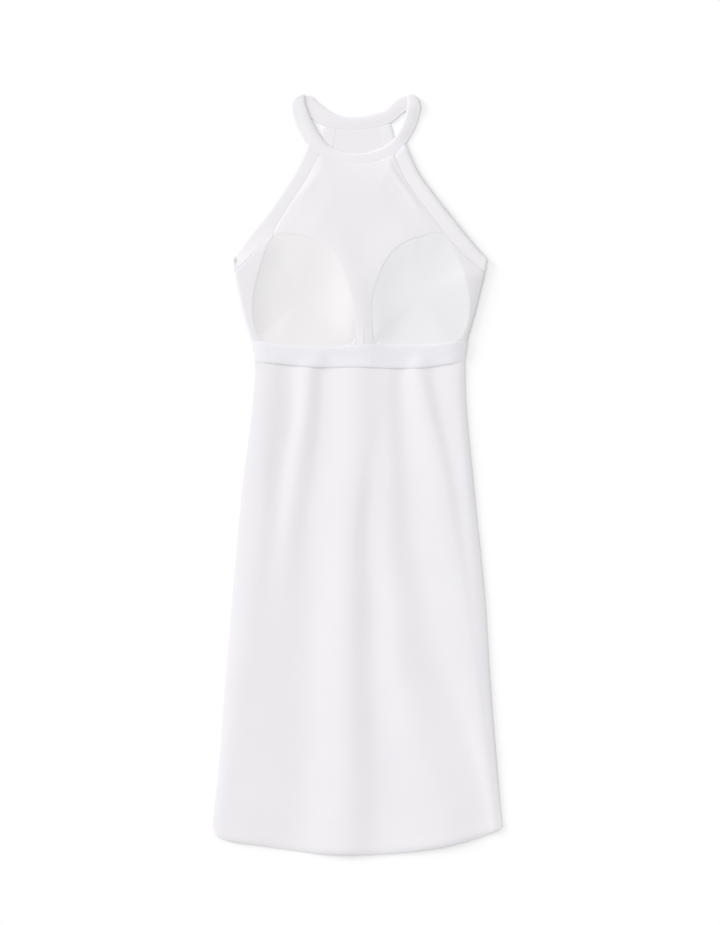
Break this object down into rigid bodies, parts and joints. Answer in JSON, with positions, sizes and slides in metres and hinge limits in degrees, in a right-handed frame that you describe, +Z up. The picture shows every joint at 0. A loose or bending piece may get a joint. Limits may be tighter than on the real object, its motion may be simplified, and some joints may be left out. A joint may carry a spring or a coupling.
{
  "type": "halter dress",
  "caption": "White stretch-knit halter dress with a built-in bra, laid flat inside out on its back, with a flared midi skirt.",
  "frame": {"origin": "middle of the dress's footprint, on the surface that it lies on", "axes": "+X to the viewer's right, +Y from the hem towards the neck, +Z up out of the surface"},
  "size_m": [0.4357, 1.1398, 0.0136],
  "materials": {
    "jersey": "matte, fine smooth knit",
    "lining": "matte, fine smooth knit",
    "foam_left": "matte, cloth-covered moulded foam, a little warm",
    "foam_right": "matte, cloth-covered moulded foam, a little cool",
    "elastic": "soft satin, plush elastic",
    "strip": "matte, doubled knit"
  },
  "bodies": {
    "root": {"back_panel": "jersey", "front_panel": "jersey", "lining_centre": "lining", "lining_side_left": "lining", "lining_side_right": "lining", "cup_left": "foam_left", "cup_right": "foam_right", "underband": "elastic", "neckband": "strip", "armhole_band_front_left": "strip", "armhole_band_front_right": "strip", "armhole_band_back_left": "strip", "armhole_band_back_right": "strip"}
  },
  "joints": []
}
